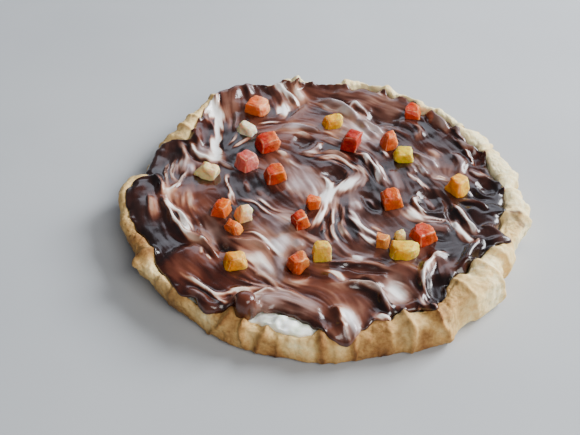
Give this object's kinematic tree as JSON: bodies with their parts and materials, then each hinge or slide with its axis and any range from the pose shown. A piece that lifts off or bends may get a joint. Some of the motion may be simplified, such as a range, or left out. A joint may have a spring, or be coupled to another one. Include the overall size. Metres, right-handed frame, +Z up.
{
  "type": "chocolate tart",
  "caption": "Round open tart with a hand-folded pastry rim, a layer of cream, a swirled chocolate topping and candied fruit cubes set in it.",
  "frame": {"origin": "middle of the flat underside of the pastry, where the tart rests", "axes": "+Z up; -Y towards the front, where the cream shows between the chocolate and the rim; +X to the right"},
  "size_m": [0.2447, 0.2363, 0.0325],
  "materials": {
    "pastry": "baked, floury and matte",
    "cream": "smooth, soft sheen",
    "chocolate": "soft gloss, swirled with cream",
    "candied_orange": "translucent jelly, worn edges",
    "candied_red": "translucent jelly, worn edges",
    "candied_pink": "translucent jelly, worn edges",
    "candied_peach": "translucent jelly, worn edges",
    "candied_yellow": "translucent jelly, worn edges",
    "candied_pale": "translucent jelly, sugary surface"
  },
  "bodies": {
    "root": {"pastry_shell": "pastry", "cream_filling": "cream", "chocolate_topping": "chocolate", "fruit_orange_01": "candied_orange", "fruit_pale_02": "candied_pale", "fruit_red_03": "candied_red", "fruit_pink_04": "candied_pink", "fruit_orange_05": "candied_orange", "fruit_pale_06": "candied_pale", "fruit_orange_07": "candied_orange", "fruit_peach_08": "candied_peach", "fruit_orange_09": "candied_orange", "fruit_yellow_10": "candied_yellow", "fruit_orange_11": "candied_orange", "fruit_pale_12": "candied_pale", "fruit_red_13": "candied_red", "fruit_peach_14": "candied_peach", "fruit_yellow_15": "candied_yellow", "fruit_red_16": "candied_red", "fruit_orange_17": "candied_orange", "fruit_yellow_18": "candied_yellow", "fruit_orange_19": "candied_orange", "fruit_yellow_20": "candied_yellow", "fruit_orange_21": "candied_orange", "fruit_red_22": "candied_red", "fruit_yellow_23": "candied_yellow", "fruit_orange_24": "candied_orange", "fruit_pale_25": "candied_pale"}
  },
  "joints": []
}
